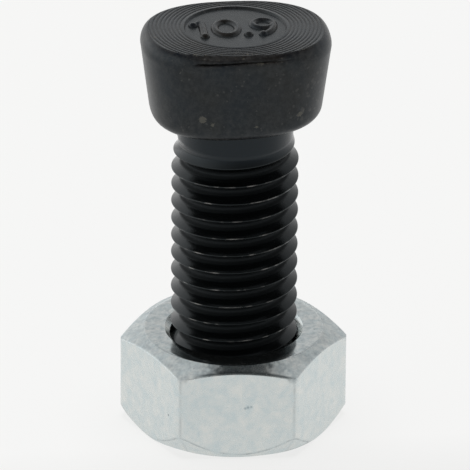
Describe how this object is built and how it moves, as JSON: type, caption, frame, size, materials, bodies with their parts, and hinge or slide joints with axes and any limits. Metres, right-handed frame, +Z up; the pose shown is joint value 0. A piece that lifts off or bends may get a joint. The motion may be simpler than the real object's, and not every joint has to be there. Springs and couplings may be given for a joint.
{
  "type": "plow bolt",
  "caption": "Plow bolt with a tapered oval head, a plain neck, a coarse right-hand thread and a hexagon nut on its end.",
  "frame": {"origin": "middle of the nut's lower face, on the bolt's axis, where the set stands", "axes": "+Z up the bolt's axis from the tip to the head, +Y across the head's two long sides"},
  "size_m": [0.0212, 0.0194, 0.0396],
  "materials": {
    "black_steel": "black oxide, oiled",
    "zinc_steel": "bright zinc plated, satin"
  },
  "bodies": {
    "bolt": {"bolt": "black_steel"},
    "nut": {"hex_nut": "zinc_steel"}
  },
  "joints": [
    {"name": "nut_turn", "type": "hinge", "parent": "bolt", "child": "nut", "pos_m": [0, 0, 0.0046], "axis": [0, 0, 1], "continuous": true}
  ]
}
